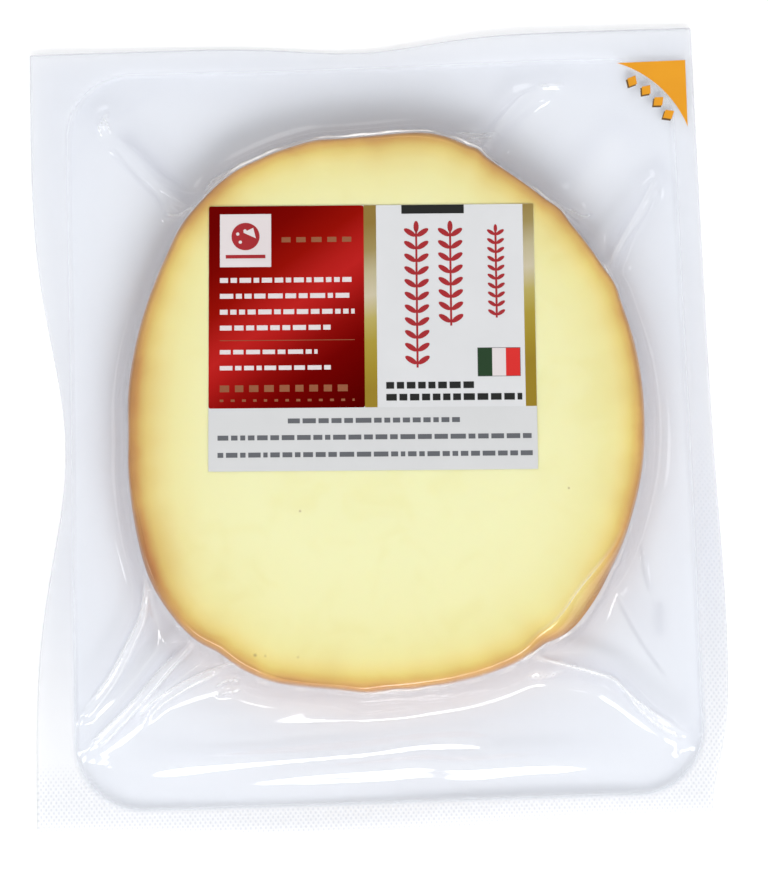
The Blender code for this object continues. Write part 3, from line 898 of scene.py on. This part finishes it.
def smoked_cheese():
    """Pressed curd, cut and smoked: an ivory face, waxy and slightly see-through, with a tanned rim.

    Smoke stains run about 9 mm across. Curd grain, at 0.5 mm, is drawn at 1.6 mm so that it shows.
    """
    material, tree = new_material("smoked provolone")
    where = add(tree, "ShaderNodeTexCoord").outputs["Object"]
    inset = add(tree, "ShaderNodeAttribute", attribute_name="inset").outputs["Fac"]
    smoke_and_shade = add(tree, "ShaderNodeAttribute", attribute_name="smoke_and_shade").outputs["Fac"]
    patches = add(tree, "ShaderNodeTexNoise", {"Vector": where, "Scale": 1 / (9 * MM), "Detail": 5.0,
                                               "Roughness": 0.6, "Distortion": 0.8}).outputs["Fac"]
    mottle = add(tree, "ShaderNodeTexNoise", {"Vector": where, "Scale": 1 / (1.6 * MM), "Detail": 4.0,
                                              "Roughness": 0.6}).outputs["Fac"]
    drift = add(tree, "ShaderNodeMath", {0: patches, 1: 0.5}, operation="SUBTRACT").outputs[0]
    ragged = add(tree, "ShaderNodeMath", {0: drift, 1: 2.0 * MM, 2: inset},
                 operation="MULTIPLY_ADD").outputs[0]
    depth = add(tree, "ShaderNodeMapRange", {"Value": ragged, "From Min": 0.0,
                                             "From Max": 24 * MM}).outputs[0]
    plain = add(tree, "ShaderNodeValToRGB", {"Fac": depth},
                ((0.0, "#B87F38"), (0.04, "#CE9D4D"), (0.0625, "#DBB359"), (0.085, "#DDBE5C"),
                 (0.125, "#E5D276"), (0.167, "#E9D986"), (0.25, "#EAE29A"), (0.375, "#EAE5A4"),
                 (0.6, "#ECE9AF"), (1.0, "#EDECB6")))
    tanned = add(tree, "ShaderNodeValToRGB", {"Fac": depth},
                 ((0.0, "#925617"), (0.04, "#A66B25"), (0.0625, "#A8671D"), (0.085, "#B97726"),
                  (0.125, "#C99F49"), (0.167, "#D7BA62"), (0.25, "#E0CC7E"), (0.375, "#E9E09C"),
                  (0.6, "#ECE9AF"), (1.0, "#EDECB6")))
    # The tanned colours come in with smoke, and on the far side with painted shade.
    face = add(tree, "ShaderNodeMix", {0: smoke_and_shade, 6: plain.outputs[0], 7: tanned.outputs[0]},
               data_type="RGBA")
    blot = add(tree, "ShaderNodeMapRange", {"Value": patches, "From Min": 0.5, "From Max": 0.66,
                                            "To Max": 0.45}).outputs[0]
    shade = add(tree, "ShaderNodeMix", {0: blot, 6: face.outputs[2], 7: colour("#F9F6E4")},
                data_type="RGBA", blend_type="MULTIPLY").outputs[2]
    for x, y, size in CHEESE_SPECKS:
        off = add(tree, "ShaderNodeVectorMath", {0: where, 1: (x * MM, y * MM, TOP_HEIGHT)},
                  operation="DISTANCE").outputs["Value"]
        near = add(tree, "ShaderNodeMapRange", {"Value": off, "From Min": size * MM,
                                                "From Max": 0.4 * size * MM, "To Max": 0.7}).outputs[0]
        shade = add(tree, "ShaderNodeMix", {0: near, 6: shade, 7: colour("#8A6A34")},
                    data_type="RGBA").outputs[2]
    bump = add(tree, "ShaderNodeBump", {"Height": mottle, "Strength": 0.25,
                                        "Distance": 0.15 * MM}).outputs[0]
    shader = add(tree, "ShaderNodeBsdfPrincipled", {"Base Color": shade, "Roughness": 0.48,
                                                    "Subsurface Weight": 0.12,
                                                    "Subsurface Radius": (1.6 * MM, 1.1 * MM, 0.5 * MM),
                                                    "Subsurface Scale": 1.0, "Normal": bump})
    add(tree, "ShaderNodeOutputMaterial", {"Surface": shader.outputs[0]})
    return material


def printed(name, stops, roughness, metallic=0.0, coat=0.0, grain=0.0, painted_sheen=None):
    """A printed or foiled field. Its colours drift over 9 mm, or run across in a band of painted sheen.

    Paper grain, at 0.05 mm, is too fine to show, so it is drawn at 0.35 mm.
    """
    material, tree = new_material(name)
    where = add(tree, "ShaderNodeTexCoord").outputs["Object"]
    # The sheen is a painted highlight: a band of lighter colour across the field.
    if painted_sheen:
        across, middle, reach = painted_sheen
        off = add(tree, "ShaderNodeVectorMath", {0: where, 1: (math.sin(across), -math.cos(across), 0)},
                  operation="DOT_PRODUCT").outputs["Value"]
        spread = add(tree, "ShaderNodeMapRange", {"Value": off, "From Min": middle - reach,
                                                  "From Max": middle + reach}).outputs[0]
    else:
        spread = add(tree, "ShaderNodeTexNoise", {"Vector": where, "Scale": 1 / (9 * MM), "Detail": 2.0}
                     ).outputs["Fac"]
    tone = add(tree, "ShaderNodeValToRGB", {"Fac": spread}, stops).outputs[0]
    speckle = add(tree, "ShaderNodeTexNoise", {"Vector": where, "Scale": 1 / (0.35 * MM), "Detail": 2.0}
                  ).outputs["Fac"]
    bump = add(tree, "ShaderNodeBump", {"Height": speckle, "Strength": grain,
                                        "Distance": 0.01 * MM}).outputs[0]
    shader = add(tree, "ShaderNodeBsdfPrincipled", {"Base Color": tone, "Roughness": roughness,
                                                    "Metallic": metallic, "Coat Weight": coat,
                                                    "Coat Roughness": 0.15, "Normal": bump})
    add(tree, "ShaderNodeOutputMaterial", {"Surface": shader.outputs[0]})
    return material


def floor_material():
    """A plain matt white studio table: no shine, only soft shadows."""
    material, tree = new_material("matt white table")
    shader = add(tree, "ShaderNodeBsdfDiffuse", {"Color": (0.98, 0.98, 0.98, 1)})
    add(tree, "ShaderNodeOutputMaterial", {"Surface": shader.outputs[0]})
    return material


def label_finishes():
    """Every ink, foil and paper of the print, with what each gives the eye."""
    red_painted_sheen = (math.radians(35), -25.8 * MM, 24 * MM)
    gold_painted_sheen = (math.radians(9), -22.9 * MM, 20 * MM)
    return {
        # Clay-coated paper: a cool, even white with a dull shine.
        "white_paper": printed("coated white paper", ((0.3, "#CACBCD"), (0.7, "#CDCED0")), 0.5, grain=0.3),
        # A thin grey tint over the same paper: a shade darker, just as dull.
        "grey_paper": printed("pale grey tint", ((0.3, "#C4C5C6"), (0.7, "#C7C8C9")), 0.5, grain=0.3),
        # Red lacquer over foil: deep red, with a painted highlight:
        # a bright slanting band where the metal turns to the light.
        "red_foil": printed("red lacquered foil", ((0.05, "#880605"), (0.2, "#9B0C06"), (0.34, "#BC180E"),
                                                   (0.44, "#E02A26"), (0.5, "#EB2F2D"), (0.56, "#DC2624"),
                                                   (0.66, "#B01512"), (0.76, "#8F0605"), (1.0, "#650100")),
                            0.42, 1.0, grain=0.5, painted_sheen=red_painted_sheen),
        # Yellow lacquer over foil: old gold that flares to pale straw in its band of sheen,
        # a painted highlight.
        "gold_foil": printed("gold lacquered foil", ((0.15, "#B8984F"), (0.28, "#CAB475"), (0.39, "#EEE2B7"),
                                                     (0.5, "#FFF4D4"), (0.61, "#E8D780"), (0.72, "#D7BF53"),
                                                     (0.85, "#CCB042"), (0.95, "#C1A23C")),
                             0.42, 1.0, grain=0.5, painted_sheen=gold_painted_sheen),
        # Opaque white laid over the red foil: a hint of the red still warms it.
        "white_ink": printed("opaque white ink", ((0.3, "#CEC6C7"), (0.7, "#D2CACB")), 0.5),
        # A full black with green in it: flat and very dark.
        "black_green_ink": printed("black-green ink", ((0.3, "#030604"), (0.7, "#050806")), 0.5),
        # Bluish red on white paper: a flat, deep crimson.
        "crimson_ink": printed("crimson ink", ((0.3, "#93101A"), (0.7, "#9A121C")), 0.5),
        # Orange-red on white paper: the brightest ink of the print.
        "scarlet_ink": printed("scarlet ink", ((0.3, "#C41814"), (0.7, "#C91C17")), 0.5),
        # A flat, dark leaf green.
        "leaf_green_ink": printed("leaf green ink", ((0.3, "#06300C"), (0.7, "#08340E")), 0.5),
        # Thin grey lettering ink: a soft slate against the pale tint.
        "slate_ink": printed("slate ink", ((0.3, "#55575C"), (0.7, "#5A5C61")), 0.5),
        # Copper powder in varnish: a muted, faintly metallic rose gold.
        "rose_gold_ink": printed("rose gold ink", ((0.3, "#9C5A3C"), (0.7, "#A56546")), 0.45, 0.6),
        # Strong orange-yellow printed on clear film: flat and warm.
        "amber_ink": printed("amber ink", ((0.3, "#D78F08"), (0.7, "#DC960F")), 0.5),
        # The dark outline printed beside it: a flat brown.
        "brown_ink": printed("dark brown ink", ((0.3, "#5E4012"), (0.7, "#644616")), 0.5),
    }


# ---------------------------------------------------------------- studio

# The tent's even glow, and its soft lights as (direction, inner and outer degrees, glow).
TENT_GLOW = 0.52
SOFT_LIGHTS = (((0.03, -0.70, 0.71), 4, 12, 8.0), ((0.46, -0.51, 0.73), 3, 11, 6.0),
               ((-0.46, -0.51, 0.73), 3, 11, 6.0), ((-0.20, 0.88, 0.44), 4, 14, 1.4),
               ((0.27, -0.63, 0.73), 3, 9, 5.0), ((-0.86, -0.15, 0.50), 2, 8, 4.0),
               ((0.86, 0.10, 0.50), 2, 8, 1.5), ((0.0, -0.95, 0.30), 10, 50, 0.25))

# Two broad lamps, as (name, place, width, power in watts).
LAMPS = (("near lamp", (0.05, -0.46, 0.44), 0.36, 1.33), ("far lamp", (-0.05, 0.5, 0.5), 0.36, 0.55))


def aim(thing, place, target):
    """Put a light or camera at a place, facing a target."""
    thing.location = place
    thing.rotation_euler = (Vector(target) - Vector(place)).to_track_quat("-Z", "Y").to_euler()


def build_studio():
    """A white table in a pale tent, with one broad soft light on the near side and a lower one beyond."""
    floor_mesh = bmesh.new()
    bmesh.ops.create_grid(floor_mesh, x_segments=2, y_segments=2, size=1.5)
    bmesh.ops.translate(floor_mesh, vec=(0, 0, pack_low.z - 0.3 * MM), verts=floor_mesh.verts[:])
    mesh = bpy.data.meshes.new("table")
    floor_mesh.to_mesh(mesh)
    floor_mesh.free()
    table = linked("table", mesh)
    mesh.materials.append(floor_material())
    for name, place, size, power in LAMPS:
        light = bpy.data.lights.new(name, "AREA")
        light.shape = "DISK"
        light.size = size
        light.energy = power
        lamp = bpy.data.objects.new(name, light)
        bpy.context.scene.collection.objects.link(lamp)
        lamp.visible_glossy = False
        aim(lamp, place, (0, 0, 0))
    world = bpy.data.worlds.new("pale tent")
    bpy.context.scene.world = world
    world.use_nodes = True
    tree = world.node_tree
    tree.nodes.clear()
    where = add(tree, "ShaderNodeTexCoord").outputs["Generated"]
    strength = TENT_GLOW
    for place, inner, outer, glow in SOFT_LIGHTS:
        toward = Vector(place).normalized()
        off = add(tree, "ShaderNodeVectorMath", {0: where, 1: toward},
                  operation="DOT_PRODUCT").outputs["Value"]
        lit = add(tree, "ShaderNodeMapRange", {"Value": off, "From Min": math.cos(math.radians(outer)),
                                               "From Max": math.cos(math.radians(inner))},
                  interpolation_type="SMOOTHSTEP").outputs[0]
        strength = add(tree, "ShaderNodeMath", {0: lit, 1: glow, 2: strength},
                       operation="MULTIPLY_ADD").outputs[0]
    back = add(tree, "ShaderNodeBackground", {"Color": (1, 1, 1, 1), "Strength": strength})
    add(tree, "ShaderNodeOutputWorld", {"Surface": back.outputs[0]})
    bpy.context.scene.view_settings.view_transform = "Standard"


def build_camera():
    """A long lens looking almost straight down on the pack from its near side."""
    azimuth, elevation, distance = math.radians(-1.8), math.radians(80), 0.52
    target = Vector((2.1, -2.75, 6.0)) * MM
    back = Vector((math.sin(azimuth) * math.cos(elevation), -math.cos(azimuth) * math.cos(elevation),
                   math.sin(elevation)))
    lens = bpy.data.cameras.new("camera")
    lens.lens = 111.8
    lens.sensor_width = 36
    camera = bpy.data.objects.new("camera", lens)
    bpy.context.scene.collection.objects.link(camera)
    aim(camera, target + back * distance, target)
    bpy.context.scene.camera = camera


build_camera()
build_studio()
finishes = label_finishes()
film = build_film((formed_film(), back_film()))
skin = BVHTree.FromPolygons([vert.co for vert in film.data.vertices],
                            [face.vertices for face in film.data.polygons])
build_cheese(smoked_cheese())
build_label(finishes, skin)
build_corner_mark(finishes, skin)
